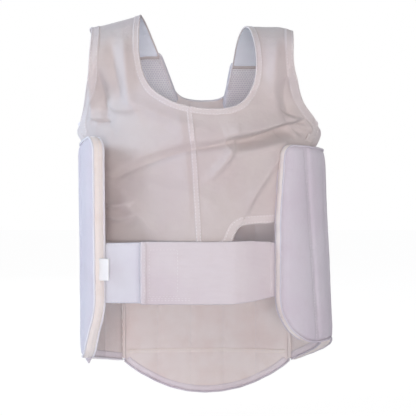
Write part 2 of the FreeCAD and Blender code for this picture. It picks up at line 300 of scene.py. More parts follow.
def strip_between(name, a, b, material, bulge, thick, rows, out, wave=lambda way, t: 0):
    """Closed strip of cloth between two space curves of equal count, bulging along out."""
    n = len(a)
    ts = np.linspace(0, 1, rows)
    way = run_length(a)
    grid = np.array([a * (1 - t) + b * t + out * bulge * math.sin(math.pi * t) + wave(way, t) for t in ts])
    nor = unit(np.cross(np.gradient(grid, axis=1), np.gradient(grid, axis=0)))
    verts = np.vstack([(grid + nor * thick / 2).reshape(-1, 3), (grid - nor * thick / 2).reshape(-1, 3)])
    across = np.linalg.norm(b - a, axis=1).mean()
    uv = np.array([(w, across * t) for t in ts for w in way])
    faces, m = [], rows * n
    for i in range(rows - 1):
        for j in range(n - 1):
            q = (i * n + j, i * n + j + 1, (i + 1) * n + j + 1, (i + 1) * n + j)
            faces += [q, tuple(k + m for k in reversed(q))]
    rim = list(range(n)) + [i * n + n - 1 for i in range(1, rows)]
    rim += [(rows - 1) * n + j for j in range(n - 2, -1, -1)] + [i * n for i in range(rows - 2, 0, -1)]
    for p, q in zip(rim, rim[1:] + rim[:1]):
        faces.append((q, p, p + m, q + m))
    return build(name, verts, faces, np.vstack([uv, uv]), material)


# ---- materials

def join(tree, kind, wires, **settings):
    """A new node; wires gives each named or numbered input a constant or another node's output."""
    node = tree.nodes.new("ShaderNode" + kind)
    for key, value in settings.items():
        setattr(node, key, value)
    for key, value in wires.items():
        if isinstance(value, bpy.types.NodeSocket):
            tree.links.new(value, node.inputs[key])
        else:
            node.inputs[key].default_value = value
    return node


def cloth(name, colour, pitch=0.6, weave=0.3, tint=(0.96, 0.93, 0.95), grime=0.2, fuzz=0.35, rough=0.86, rib=None,
          sheen=0.25):
    """Woven or ribbed cloth: threads with painted shade in their hollows, uneven dye, soft soiling and lint, all from
    procedural nodes.
    """
    mat = bpy.data.materials.new(name)
    mat.use_nodes = True
    tree = mat.node_tree
    shader = tree.nodes["Principled BSDF"]
    place = join(tree, "TexCoord", {}).outputs["Object"]
    real = join(tree, "UVMap", {}, uv_map="UVMap").outputs["UV"]
    u, v = join(tree, "SeparateXYZ", {0: real}).outputs[:2]

    def calc(operation, a, b=0.0):
        return join(tree, "Math", {0: a, 1: b}, operation=operation).outputs[0]

    def wave(way, pitch_mm):
        return calc("SINE", calc("MULTIPLY", way, 2 * math.pi / (pitch_mm * MM)))

    def noise(size, detail, roughness=0.6):
        return join(tree, "TexNoise", {"Scale": size, "Detail": detail, "Roughness": roughness,
                                       "Vector": place}).outputs["Fac"]

    def mix(fac, a, b):
        a, b = ((*c, 1) if isinstance(c, tuple) else c for c in (a, b))
        return join(tree, "Mix", {0: fac, 6: a, 7: b}, data_type="RGBA").outputs[2]

    def ramp(fac, lo, hi):
        return join(tree, "MapRange", {"From Min": lo, "From Max": hi, "Value": fac},
                    interpolation_type="SMOOTHSTEP").outputs["Result"]

    def dyed(*shares):
        return tuple(min(1, c * share) for c, share in zip(colour, shares * (3 // len(shares))))

    if rib:
        height = calc("ADD", calc("MULTIPLY", wave(v, rib[0]), 0.7), calc("MULTIPLY", wave(u, rib[1]), 0.3))
    else:
        height = calc("MULTIPLY", wave(u, pitch), wave(v, pitch))
    height = calc("ADD", height, calc("MULTIPLY", noise(900, 2), 1.2))
    crumple = join(tree, "Bump", {"Strength": fuzz, "Distance": 0.0022, "Height": noise(95, 4, 0.55)})
    bump = join(tree, "Bump", {"Strength": weave, "Distance": 0.00035, "Height": height,
                               "Normal": crumple.outputs["Normal"]})
    base = mix(ramp(noise(11, 3), 0.38, 0.66), colour, dyed(*tint))
    base = mix(calc("MULTIPLY", ramp(noise(27, 5, 0.7), 0.52, 0.76), grime), base, dyed(0.90, 0.86, 0.82))
    # Painted shade: the colour darkens where the threads' height is low, in the hollows of the weave
    base = mix(calc("MULTIPLY", ramp(height, 0.9, -0.4), 0.16), base, dyed(0.72))
    base = mix(calc("MULTIPLY", ramp(noise(420, 3, 0.7), 0.62, 0.8), 0.35), base, dyed(1.08))
    worn = join(tree, "MapRange", {"To Min": rough - 0.08, "To Max": min(1, rough + 0.1), "Value": noise(60, 3)})
    for key, value in (("Sheen Weight", sheen), ("Sheen Roughness", 0.5), ("Specular IOR Level", 0.25)):
        shader.inputs[key].default_value = value
    for key, value in (("Base Color", base), ("Normal", bump.outputs["Normal"]),
                       ("Roughness", worn.outputs["Result"])):
        tree.links.new(value, shader.inputs[key])
    return mat


M_SHELL = cloth("pad_cloth", (0.67, 0.63, 0.70), pitch=0.7, weave=0.35, grime=0.3)
M_YOKE = cloth("yoke_cloth", (0.61, 0.55, 0.545), pitch=0.5, weave=0.22, grime=0.3)
M_LINING = cloth("lining_cloth", (0.89, 0.82, 0.81), pitch=0.9, weave=0.45, tint=(0.95, 0.90, 0.89), grime=0.4)
M_EDGE = cloth("edge_cloth", (0.90, 0.83, 0.80), grime=0.45, tint=(0.97, 0.92, 0.92))
M_BIND = cloth("binding_cloth", (0.82, 0.78, 0.81))
M_PIPE = cloth("piping_cloth", (0.79, 0.77, 0.82))
M_ELASTIC = cloth("elastic_cloth", (0.72, 0.66, 0.695), rib=(1.5, 0.7), weave=0.55, grime=0.25, fuzz=0.2)
M_TAB = cloth("tab_cloth", (0.74, 0.735, 0.81), pitch=0.8, weave=0.4, fuzz=0.3)
M_LOOP = cloth("loop_pile", (0.76, 0.755, 0.79), pitch=0.9, weave=0.9, fuzz=0.8, sheen=0.5)
M_HOOK = cloth("hook_pile", (0.74, 0.74, 0.77), pitch=1.1, weave=1.0, fuzz=0.4, rough=0.6, sheen=0.05)
M_MESH = cloth("mesh_cloth", (0.95, 0.95, 0.97), pitch=0.5)
M_UNDER = cloth("strap_backing", (0.80, 0.78, 0.85), grime=0.3)
M_LABEL = cloth("label_satin", (0.86, 0.86, 0.88), pitch=0.35, weave=0.2, grime=0.1, rough=0.6, sheen=0.1)
# Bright pale bluish cloth for the strap insides: painted light that stands in for light reaching those shaded insides
M_PAINTED_LIGHT_FACING = cloth("pale_facing_cloth", (0.87, 0.91, 0.98), weave=0.25, grime=0.1)
M_FACING = cloth("facing_cloth", (0.80, 0.74, 0.785), weave=0.25)
M_HEM = cloth("hem_cloth", (0.69, 0.63, 0.63), weave=0.25, grime=0.25)
M_THREAD = cloth("sewing_thread", (0.83, 0.80, 0.82), pitch=0.4, weave=0.5, grime=0.1, rough=0.7)


# ---- padded panels, bent about upright axes

# Each panel's bend: the axis it turns about, the inner face's radius and the angle at which its way round is 0
HUBS = {"front": (-2, 524, 626, -math.pi / 2), "left": (-15, 5, 165, 0), "right": (-46.4, -18.3, 105.6, 0)}
THICK = 14.6
SEAM_FOOT, SEAM_RISE = -200, 280   # the heights between which the channel seams are laid out
LEAN = {"front": (0, 0, 0), "left": (-103.4, 2.0, -1.0), "right": (436.7, 4.5, -8.0)}   # root, sway at top and foot


def ring_place(hub, depth):
    """Places (way round, height) on a bent panel; depth is measured outwards from the inner face."""
    cx, cy, r0, a0 = HUBS[hub]
    root, top, foot = LEAN[hub]

    def place(p):
        a = a0 + p[:, 0] / (r0 + THICK / 2)
        r = r0 + depth(p)
        free = np.clip(np.abs(p[:, 0] - root) / 90, 0, 1)
        sway = np.interp(p[:, 1], (-200, 80), (foot, top)) * free * free * (3 - 2 * free)
        return np.stack([cx + r * np.cos(a) + sway, cy + r * np.sin(a), p[:, 1]], 1)
    return place


def rounded(corners, step=2.0):
    """Closed outline through (a, b, radius) corners."""
    out = []
    n = len(corners)
    for i, (x, y, r) in enumerate(corners):
        here = np.array([x, y], float)
        if not r:
            out.append(here[None])
            continue
        back = np.array(corners[i - 1][:2], float) - here
        ahead = np.array(corners[(i + 1) % n][:2], float) - here
        back /= np.linalg.norm(back)
        ahead /= np.linalg.norm(ahead)
        half = math.acos(np.clip(back @ ahead, -1, 1)) / 2
        cut = r / math.tan(half)
        mid = back + ahead
        centre = here + mid / np.linalg.norm(mid) * r / math.sin(half)
        a, b = here + back * cut - centre, here + ahead * cut - centre
        t0, t1 = math.atan2(a[1], a[0]), math.atan2(b[1], b[0])
        turn = (t1 - t0 + math.pi) % (2 * math.pi) - math.pi
        ts = t0 + np.linspace(0, turn, max(3, int(abs(turn) * r / step)))
        out.append(centre + r * np.stack([np.cos(ts), np.sin(ts)], 1))
    return np.vstack(out)


def seam_gap(p, seams):
    """Distance of each point from the nearest upright channel seam, and its place across the slat, 0 to 1."""
    z = (p[:, 1] - SEAM_FOOT) / SEAM_RISE
    lines = np.stack([top * z + low * (1 - z) for top, low in seams], 1)
    gaps = np.abs(p[:, :1] - lines)
    first, second = np.sort(gaps, axis=1).T[:2]
    return first, first / (first + second + 1e-9)


def pad_depth(base, seams, rim, ends, sign, groove, welt, crown, seed):
    """Depth of a quilted face: crowned slats, stitched channels, soft rim and ends that pinch into seams."""
    def depth(p):
        gap, across = seam_gap(p, seams)
        edge, along, _ = near(rim, p)
        d = crown * np.sin(math.pi * np.clip(across, 0, 0.5)) ** 0.7 * np.clip(edge / 16, 0, 1) ** 0.6
        d -= groove * np.exp(-(gap / 4.2) ** 2) * np.clip(edge / 5, 0, 1)
        d += welt * np.exp(-(gap / 1.25) ** 4) * np.clip(edge / 5, 0, 1)
        d += 0.28 * np.exp(-gap / 7) * np.sin(p[:, 1] / 1.9 + 2.2 * np.sin(p[:, 1] / 13 + seed))
        d -= 2.2 * np.exp(-(edge / 3.6) ** 2)
        d += 0.32 * np.exp(-edge / 8) * np.sin(along * 330 + 3 * np.sin(along * 41 + seed))
        d += 0.75 * ripple(p, 95, seed, (1.0, 0.55)) + 0.22 * ripple(p, 26, seed + 1, (1.0, 0.6))
        for at, drop in ends:
            d -= drop * np.exp(-(np.abs(p[:, 0] - at) / 6.5) ** 2)
        return base + sign * d
    return depth


def rim_line(depth_at, hub, line, push=0.0):
    """Space curve along a rim line at a steady depth, moved outwards by push."""
    return ring_place(hub, lambda p: np.full(len(p), float(depth_at)))(offset(line, -push) if push else line)


def sew_on(name, place, line, body, lift, radius=0.34, facing=0):
    """Stitches along a plane line on a placed surface; facing 1 turns them to the back of the wearer."""
    pts, nor = place(line), normals_of(place, line)
    if facing:
        nor = nor * np.sign(nor[:, 1:2])
    up = math.copysign(1, lift)
    sew(name, pts + nor * lift, nor * up, body, radius)


def panel_edge(prefix, hub, rim, body, nodes, slot):
    """The boxed edge of a pad: its strip of cloth, a piping at each side and the stitching."""
    inner, outer = 1.0, 13.8
    low, high = rim_line(inner, hub, rim, -0.6), rim_line(outer, hub, rim, -0.6)
    out = unit(rim_line(7, hub, rim, 1.0) - rim_line(7, hub, rim, 0.0))

    def wave(way, t):
        size = 0.35 * math.sin(math.pi * t) * np.sin(way / 5.3 + 2 * np.sin(way / 31 + len(prefix)))
        return out * size[:, None]
    strip = strip_between(f"{prefix}_edge_strip", low, high, M_EDGE, 2.1, 1.1, 9, out, wave)
    put(strip, slot, body, nodes[0])
    # Painted shade: the right wing's cords take the darker shell cloth, while the same cords on the lit left wing keep
    # the pale piping cloth
    cord = M_PIPE if prefix == "left_wing" else M_SHELL
    for tag, at, node in (("outer", outer + 0.5, nodes[1]), ("inner", inner - 0.5, nodes[2])):
        line = rim_line(at, hub, rim, 0.2)
        wob = 0.18 * np.sin(np.arange(len(line)) / 2.1)[:, None] * out
        put(tube(f"{prefix}_{tag}_cord", line + wob, 1.4, cord), "binding_tape", body, node)
    sew(f"{prefix}_edge_stitches", (low + high) / 2 + out * 2.7, out, body)


def pad(prefix, hub, ring, rim, seams, ends, body, cover_nodes, lining_nodes, looks):
    """Outer and inner faces of a padded panel, with stitching down every channel; gives the inner face's place."""
    groove, welt, crown = looks
    outer = ring_place(hub, pad_depth(THICK - 0.6, seams, rim, ends, 1, groove, welt, crown, len(prefix)))
    inner_ends = [(at, drop * 0.12) for at, drop in ends]
    inner = ring_place(hub, pad_depth(0.6, seams, rim, inner_ends, -1, groove * 0.35, 0.0, crown * 0.35,
                                      len(prefix) + 5))
    put(patch(f"{prefix}_pad_cover", ring, outer, M_SHELL, 1.2), "shell_cloth", body, *cover_nodes)
    put(patch(f"{prefix}_pad_lining", ring, inner, M_LINING, 1.0, step=2.6), "lining_cloth", body, *lining_nodes)
    lo, hi = ring[:, 1].min() + 4, ring[:, 1].max() - 4
    for i, (top, low) in enumerate(seams[1:-1]):
        zs = np.arange(lo, hi, 1.5)
        line = np.stack([low + (top - low) * (zs - SEAM_FOOT) / SEAM_RISE, zs], 1)
        line = line[inside(ring, line)]
        line = line[near(rim, line)[0] > 3]
        for place, tag, lift, shifts in ((outer, "out", 0.6, (-2.1, 2.1)), (inner, "in", -0.6, (0.0,))):
            for k, shift in enumerate(shifts):
                sew_on(f"{prefix}_channel_{i}_{tag}_{k}", place, line + np.array([shift, 0]), body, lift)
    return inner


left_s = (-103.4, 101.0)
right_s = (219.5, 436.7)
left_ring = rounded([(left_s[0], -224, 0), (57, -188.5, 50), (left_s[1], -126, 60), (left_s[1], 89, 17),
                     (left_s[1] - 45, 84, 0), (left_s[0], 78, 0)])
right_ring = rounded([(right_s[0] - 3, -167, 58), (right_s[0] + 110, -174, 40), (right_s[1], -224, 0),
                      (right_s[1], 78, 0), (right_s[0] + 16, 78, 15), (right_s[0] + 5, -10, 0)])


def open_rim(ring, at):
    """The part of a closed outline that isn't on the upright end at a given way round."""
    pts = resample(ring, 2.0, closed=True)
    free = np.abs(pts[:, 0] - at) > 0.6
    start = int(np.argmax(~free & np.roll(free, -1)))
    pts, free = np.roll(pts, -start - 1, 0), np.roll(free, -start - 1)
    return pts[free]


wings = {   # outline, the hinge end's way round, then each channel seam's way round at its top and its foot
    "left": (left_ring, left_s[0], [(left_s[0], left_s[0]), (-52, -54), (0, 0), (52, 50), (101, 101)]),
    "right": (right_ring, right_s[1], [(231, 217), (268, 277), (318, 324), (374, 378), (436.7, 436.7)]),
}
inner_face, rims = {}, {}
for side, (ring, hinge, seams) in wings.items():
    wing = f"{side}_wing"
    rims[side] = open_rim(ring, hinge)
    inner_face[wing] = pad(wing, side, ring, rims[side], seams, [(hinge, 9.5)], wing,
                           [f"{wing}_cover"] + [f"{wing}_foam_{i}" for i in (1, 2, 3, 4)], [f"{wing}_lining"],
                           (2.6, 2.2, 2.2))
for side, rim in rims.items():
    wing = f"{side}_wing"
    panel_edge(wing, side, rim, wing, [f"{wing}_edge", f"{wing}_outer_piping", f"{wing}_inner_piping"],
               "shell_cloth")

# Padded front: one quilted panel with neck and arm curves, then the apron below its lining seam
FRONT_HEM = [(-123.6, -226), (-112, -236), (-90, -250), (-60, -264), (-30, -272), (2, -275), (34, -272), (64, -263),
             (92, -249), (112, -236), (123.6, -226)]
FRONT_ARMS = {"left": [(123.6, 78), (112, 96), (102, 118), (97, 140), (96, 158)],
              "right": [(-98, 158), (-99, 140), (-104, 118), (-113, 96), (-123.6, 78)]}
FRONT_NECK = [(52, 180), (45, 170), (36, 163.5), (22, 160), (4, 159), (-14, 160.5), (-25, 165), (-31, 172), (-35, 182)]
front_ring = rim_of(FRONT_HEM, [(123.6, -226), (123.6, 78)], FRONT_ARMS["left"], [(96, 158), (52, 180)],
                    FRONT_NECK, [(-35, 182), (-98, 158)], FRONT_ARMS["right"], [(-123.6, 78), (-123.6, -226)])
front_rim = resample(smooth(FRONT_HEM), 2.0)
front_seams = [(x, x) for x in (-123.6, -74, -25, 24, 74, 123.6)]
inner_face["vest"] = pad(
    "front", "front", front_ring, front_rim, front_seams, [(-123.6, 9.5), (123.6, 9.5)], "vest",
    ["front_outer_cover", "apron_cover", "apron_foam"] + [f"front_foam_{i}" for i in range(1, 6)],
    ["front_lining", "apron_lining"], (3.4, 2.2, 3.2))
panel_edge("front_hem", "front", front_rim, "vest", ["front_hem_binding"] * 3, "binding_tape")


def surface_strip(name, place, line, width, material, lift, thick, sewn_at, body="vest", nodes=()):
    """A strip of cloth sewn flat along a line, under a placed surface; width runs to the line's left."""
    line = resample(line, 2.5)
    raised = lifted(place, -lift)
    ring = np.vstack([line, offset(line, width)[::-1]])
    put(patch(name, ring, raised, material, thick, step=2.0), "binding_tape", body, *nodes)
    for k, share in enumerate(sewn_at):
        sew_on(f"{name}_stitch_{k}", raised, offset(line, width * share), body, -thick * 0.55)


seam_line = np.array([(x, -215.0) for x in np.arange(-118, 119, 4)])
surface_strip("apron_seam", inner_face["vest"], seam_line, 5.0, M_EDGE, 0.8, 0.9, (0.5,))
# The hem's turned facing runs along the bottom of the front and on up the two wings
HEM_FACINGS = (("front_hem", "vest", front_rim[1:-1]),
               ("left_wing_hem", "left_wing", [(left_s[0] + 1, -223.4), (22, -196)]),
               ("right_wing_hem", "right_wing", [(right_s[0] + 128, -182), (right_s[1] - 1, -223.2)]))
for name, body, line in HEM_FACINGS:
    surface_strip(f"{name}_facing", inner_face[body], line, 9, M_FACING, 0.8, 0.8, (0.88,), body)
# The loose corner of cloth that hangs below the left wing
down = np.linspace(0, 1, 12)
tail_line = np.stack([153.5 - down, 33 + 2 * down ** 2, -185 - 19 * down], 1)
put(tube("left_wing_corner_tail", tail_line, 6.6 * (1 - down ** 1.8) + 0.7, M_SHELL, sides=16), "shell_cloth",
    "left_wing")
for side, x, y in (("left", 120.4, -89.0), ("right", -124.5, -89.2)):
    line = np.array([(x, y, z) for z in np.arange(-222, 78, 2.0)])
    put(tube(f"corner_seam_{side}", line, 2.6, M_LINING, sides=12), "shell_cloth", f"{side}_wing")


# ---- back yoke and straps

ARCH = {"left": 181.0, "right": 167.0}
ARM = 77.0
LEVELS = [(-62, (135, 45), (6, 97), (-124, 40)), (20, (137, 43), (7, 97), (-124, 40)),
          (76, (138, 42), (8, 97), (-124, 40)), (126, (146, 30), (10, 93), (-134, 28))]


def back_y(x, z, side):
    """How far back the yoke lies: arcs in plan that flatten towards the straps."""
    rows = LEVELS + [(ARCH[side], (150, 75.5), (14, ARM), (-122, 75.5))]
    zs = np.array([r[0] for r in rows])
    q = np.clip(z, zs[0], zs[-1])
    step = np.clip(np.searchsorted(zs, q) - 1, 0, len(zs) - 2)
    low, high = zs[step], zs[step + 1]
    t = (q - low) / (high - low)
    q = low + (high - low) * t * t * (3 - 2 * t)
    (x1, y1), (x2, y2), (x3, y3) = (at_ways(q, zs, np.array([r[k] for r in rows], float)).T for k in (1, 2, 3))
    # centre and radius of the circle through the left, middle and right points at each height
    d = 2 * (x1 * (y2 - y3) + x2 * (y3 - y1) + x3 * (y1 - y2))
    q1, q2, q3 = x1 ** 2 + y1 ** 2, x2 ** 2 + y2 ** 2, x3 ** 2 + y3 ** 2
    cx = (q1 * (y2 - y3) + q2 * (y3 - y1) + q3 * (y1 - y2)) / d
    cy = (q1 * (x3 - x2) + q2 * (x1 - x3) + q3 * (x2 - x1)) / d
    r = np.hypot(x1 - cx, y1 - cy)
    return cy + np.sqrt(np.maximum(r * r - (x - cx) ** 2, 25.0))   # 25 keeps the root real beyond the arc's end


def strap_spine(side):
    """Side view of a strap: arch over the shoulder, then down to the padded front."""
    zc = ARCH[side]
    a = np.radians(np.arange(0, 151, 3))
    arch = np.stack([ARM * np.cos(a), zc + ARM * np.sin(a)], 1)
    down = smooth([arch[-1], (-78, zc + 17), (-88, 172 + (zc - 181) * 0.3), (-100, 150), (-103.5, 130)])
    line = np.vstack([arch[:-1], down])
    return zc + run_length(line), line


SPINES = {side: strap_spine(side) for side in ARCH}
SEAM_AT = {side: ARCH[side] + ARM * math.radians(150) for side in ARCH}

# Creases pressed into the cloth, as lines seen from behind: (points, height, width above, width below)
CREASES = [
    ([(122, 46), (90, 60), (60, 70), (20, 80), (-20, 87), (-45, 92), (-60, 90)], 5.5, 4.5, 18),
    ([(115, 39), (84, 51), (58, 60), (20, 71), (-30, 79), (-60, 83)], -5.0, 4, 13),
    ([(-104, 85), (-82, 78), (-62, 71), (-38, 66)], 6.0, 13, 3.5),
    ([(-112, 110), (-117, 102), (-121, 92)], 5.0, 4, 4),
    ([(-40, 92), (-36, 74), (-26, 56), (-8, 36)], 7.0, 8, 3.0),
    ([(-88, 66), (-74, 40), (-60, 16), (-50, -8)], 8.0, 12, 3.5),
    ([(-96, 56), (-82, 28), (-68, 4)], -4.0, 8, 8),
    ([(-98, 84), (-98, 40), (-96, 10), (-94, -22)], 13.0, 24, 8),
    ([(136, 176), (134, 145), (130, 122), (122, 104)], -9.0, 4, 11),
    ([(146, 165), (145, 132), (141, 108)], 7.0, 9, 4),
    ([(118, 210), (113, 165), (106, 136)], -8.0, 9, 9),
    ([(103, 215), (98, 165), (92, 135), (80, 112)], 6.0, 10, 7),
    ([(96, 138), (66, 120), (36, 106), (12, 98)], 6.0, 8, 13),
    ([(128, 6), (112, 2), (92, 6)], 6.0, 3, 6),
    ([(130, -10), (108, -14), (86, -9)], 5.0, 3, 6),
    ([(-110, 200), (-104, 162), (-105, 137), (-116, 116)], -7.0, 7, 9),
    ([(-92, 215), (-88, 172), (-87, 142), (-94, 122)], 5.5, 10, 8),
    ([(-104, 116), (-122, 108), (-142, 102)], 8.0, 4, 7),
    ([(-96, 126), (-114, 121), (-132, 117)], -6.0, 5, 5),
    ([(84, 34), (40, 22), (0, 12), (-24, -6)], 3.2, 16, 8),
    ([(112, 24), (86, -4), (64, -30)], 4.5, 14, 8),
    ([(30, 112), (24, 70), (20, 30), (18, -20)], 2.2, 12, 5),
    ([(132, 136), (112, 126), (90, 122)], 6.0, 3.5, 8),
]


# Tucks where the cloth above hangs over the cloth below: (points, overhang, its width, depth, its width)
TUCKS = [
    ([(-26, 84), (-38, 88), (-69, 95), (-101, 107), (-132, 116)], 7.0, 14, 20.0, 17),
    ([(150, 117), (138, 115), (124, 114)], 4.0, 9, 5.0, 8),
    ([(8, 76), (-12, 80), (-30, 85)], 1.5, 14, 2.0, 8),
]


def drape(p):
    """How far the loose back cloth stands off its smooth shape."""
    out = np.zeros(len(p))
    for line, height, left, right in CREASES:
        gap, along, side = near(smooth(line, fine=5), p)
        wide = np.where(side > 0, left, right)
        fade = np.sin(math.pi * np.clip(along * 0.92 + 0.04, 0, 1)) ** 0.6
        out += height * fade * np.exp(-(gap / wide) ** 1.6)
    for line, hang, above, sink, below in TUCKS:
        gap, along, side = near(smooth(line, fine=5), p)
        fade = np.sin(math.pi * np.clip(along, 0, 1)) ** 0.5
        part = 0.5 - 0.5 * np.tanh(gap * side / 0.9)
        out += fade * (part * hang * np.exp(-(gap / above) ** 1.6) - (1 - part) * sink * np.exp(-(gap / below) ** 3.2))
    out += 1.3 * ripple(p, 120, 3, (1.0, 0.5)) + 0.42 * ripple(p, 38, 4, (0.8, 1.0))
    out += 0.14 * ripple(p, 13, 5)
    return out


def yoke_place(side):
    """Places (across, up and over) on the back yoke and its strap."""
    way, line = SPINES[side]
    arch = ARCH[side]

    def place(p):
        x, w = p[:, 0], p[:, 1]
        low = w < arch
        fade = np.clip(1 - (w - arch) / 70, 0, 1)
        y = np.where(low, back_y(x, w, side), np.interp(w, way, line[:, 0])
                     + (back_y(x, np.full(len(x), arch), side) - ARM) * fade * fade)
        z = np.where(low, w, np.interp(w, way, line[:, 1]))
        over = np.clip((z - arch) / ARM, 0, 1)
        droop = 0.25 * np.clip(x - 86, 0, None) if side == "left" else 0.012 * np.clip(-x - 92, 0, None) ** 2
        return np.stack([x, y, z - over * droop], 1)
    return place


def draped_place(side):
    """The yoke with its creases and tucks, which fade out towards the shoulder and the bottom hem."""
    plain = yoke_place(side)

    def place(p):
        side_fade = np.clip((SEAM_AT[side] - p[:, 1]) / 120, 0, 1)
        bury = np.clip((p[:, 1] + 64) / 40, 0.25, 1)
        return plain(p) - normals_of(plain, p, 1.0) * (drape(p) * side_fade * bury)[:, None]
    return place


NECK = {"left": [(67, SEAM_AT["left"]), (78, 345), (85, 302), (85, 260), (84, 220), (83, 195), (78, 170), (68.5, 152),
                 (55, 140), (38, 130.5), (18.4, 125)],
        "right": [(18.4, 125), (0, 122.5), (-20, 122.5), (-36, 125.5), (-48, 133), (-57, 146), (-62.5, 160),
                  (-65, 180), (-63.5, 210), (-58, 250), (-52, 288), (-45, 330), (-40, SEAM_AT["right"])]}
ARMHOLE = {"left": [(166, 98), (170, 112), (166, 127), (154, 149), (147, 170), (145, 200), (145, 232), (149, 266),
                    (156, 302), (154, 345), (147, SEAM_AT["left"])],
           "right": [(-110, SEAM_AT["right"]), (-117, 330), (-118, 288), (-114, 240), (-112, 200), (-114, 172),
                     (-120, 152), (-128, 138), (-139, 127), (-148, 117), (-151, 107), (-148, 95)]}
YOKES = {
    "left": rim_of([(5, -56), (50, -56), (100, -55), (136, -54)],
                   [(136, -54), (137, -20), (138, 20), (140, 60), (148, 82), (166, 98)],
                   ARMHOLE["left"], [ARMHOLE["left"][-1], NECK["left"][0]], NECK["left"],
                   [(18.4, 125), (12, 60), (5, -56)]),
    "right": rim_of([(-121, -12), (-90, -18), (-60, -20), (-44, -23), (-37, -32), (-31, -46), (-16, -55), (5, -56)],
                    [(5, -56), (12, 60), (18.4, 125)],
                    NECK["right"], [NECK["right"][-1], ARMHOLE["right"][0]], ARMHOLE["right"],
                    [(-148, 95), (-138, 80), (-128, 60), (-125, 20), (-121, -12)]),
}
hanging = {side: draped_place(side) for side in YOKES}
for side, ring in YOKES.items():
    above = ring[ring[:, 1] > 158]
    above = above.mean(0) + (above - above.mean(0)) * (0.96, 0.99)
    place = hanging[side]
    # The shoulder facings carry the painted-light cloth on the shaded insides of the straps
    put(patch(f"shoulder_facing_{side}", above, lifted(place, 1.2, 1.0), M_PAINTED_LIGHT_FACING, 0.7, step=2.4), "lining_cloth", "vest")
    put(patch(f"back_yoke_{side}", ring, place, M_YOKE, 1.3, step=2.0), "shell_cloth", "vest",
        f"yoke_{side}", f"back_strap_{side}")

# Hems and bindings on the yoke: neck edge, arm edges, bottom hem and the felled centre seam
RIGHT_HEM = [(-119, -11.5), (-90, -17.5), (-60, -19.5), (-44, -22.5), (-37, -31.5), (-31, -45), (-18, -53)]
EDGES = [
    ("back_neck_hem_left", "left", smooth(NECK["left"]), 9, ("back_neck_binding",)),
    ("back_neck_hem_right", "right", smooth(NECK["right"]), 9, ()),
    ("armhole_hem_left", "left", smooth(ARMHOLE["left"]), 13, ()),
    ("armhole_hem_right", "right", smooth(ARMHOLE["right"]), 13, ()),
    ("yoke_bottom_hem_right", "right", smooth(RIGHT_HEM), 13, ("yoke_hem_right",)),
    ("yoke_bottom_hem_left", "left", np.array([(7, -55.5), (60, -55.5), (134, -53.5)]), 13, ()),
    ("centre_felled_seam", "left", smooth([(9.5, -54), (16.2, 60), (22.6, 124)]), 8, ("centre_seam_tape",))]
for name, side, line, width, nodes in EDGES:
    place = hanging[side]
    surface_strip(name, place, line, width * 0.8, M_HEM, 0.8, 0.7, (0.16, 0.84), nodes=nodes)
    if "seam" not in name:
        run = offset(resample(line, 2.0), 0.6)
        put(tube(f"{name}_roll", lifted(place, -0.35)(run), 1.4, M_HEM), "binding_tape", "vest")

# Padded front straps with their mesh lining, and the shoulder seams
FRONT_STRAPS = {
    "left": ([(147, 382.6), (142, 400), (127, 428), (107, 450), (97, 466)], [(97, 466), (43, 466)],
             [(43, 466), (44.5, 448), (52, 424), (60, 402), (67, 382.6)]),
    "right": ([(-40, 368.6), (-37, 385), (-34.5, 402), (-31, 420), (-29, 438)], [(-29, 438), (-99, 438)],
              [(-99, 438), (-101, 420), (-106, 395), (-110, 368.6)]),
}


def net(name, ring, place):
    """Open air mesh: a net of six-sided cells with round holes, cut to an outline."""
    lo, hi = ring.min(0), ring.max(0)
    cell, bar = 3.7 * COARSE, 0.95
    rows = np.arange(lo[1], hi[1] + cell, cell * 0.866)
    cells = np.array([(x + (j % 2) * cell / 2, y) for j, y in enumerate(rows)
                      for x in np.arange(lo[0], hi[0] + cell, cell)])
    cells = cells[inside(ring, cells)]
    turn = np.radians(np.arange(12) * 30 + 30)
    reach = cell / 2 / np.cos(np.radians(np.where(np.arange(12) % 2 == 0, 30, 0)))
    hexagon = np.stack([np.cos(turn) * reach, np.sin(turn) * reach], 1)
    hole = np.stack([np.cos(turn), np.sin(turn)], 1) * (cell / 2 - bar / 2)
    flat, index, faces = [], {}, []

    def spot(q):
        key = (round(q[0] * 8), round(q[1] * 8))
        if key not in index:
            index[key] = len(flat)
            flat.append(q)
        return index[key]
    for c in cells:
        outer = [spot(c + h) for h in hexagon]
        inner = [spot(c + h) for h in hole]
        faces += [(outer[k], outer[(k + 1) % 12], inner[(k + 1) % 12], inner[k]) for k in range(12)]
    return slab(name, np.array(flat), faces, place, M_MESH, 0.7, False)


for side, runs in FRONT_STRAPS.items():
    ring = rim_of(*runs, [runs[-1][-1], runs[0][0]])
    base = yoke_place(side)
    put(patch(f"front_strap_pad_{side}", ring, lifted(base, -5.5), M_UNDER, 8.4, step=2.4), "shell_cloth", "vest",
        f"front_strap_{side}")
    put(patch(f"front_strap_cover_{side}", ring, lifted(base, -10.4), M_SHELL, 1.1, step=2.4), "shell_cloth", "vest")
    put(net(f"front_strap_net_{side}", ring, lifted(base, -0.5)), "air_mesh", "vest", f"strap_mesh_{side}")
    for tag, run in (("a", runs[0]), ("b", runs[2])):
        line = resample(smooth(run), 2.0)
        if (tag == "b") == (side == "left"):   # the neck side stops short of the front's neck binding
            line = line[line[:, 1] < (432 if side == "left" else 405)]
        out = unit(base(offset(line, -1.0)) - base(line))
        put(strip_between(f"front_strap_binding_{side}_{tag}", lifted(base, 0.4)(line), lifted(base, -11)(line),
                          M_BIND, 1.4, 1.2, 9, out), "binding_tape", "vest")
        sew_on(f"front_strap_stitches_{side}_{tag}", base, offset(line, 3.0), "vest", 0.2)
    xs = np.linspace(runs[0][0][0], runs[-1][-1][0], 40)
    across = np.stack([xs, np.full(40, SEAM_AT[side] + 1.0)], 1)
    put(tube(f"shoulder_seam_roll_{side}", lifted(base, -2.0)(across), 3.4, M_YOKE), "shell_cloth", "vest",
        f"shoulder_seam_{side}")
    sew_on(f"shoulder_seam_stitches_{side}", base, across + np.array([0, 4.5]), "vest", 0.5)

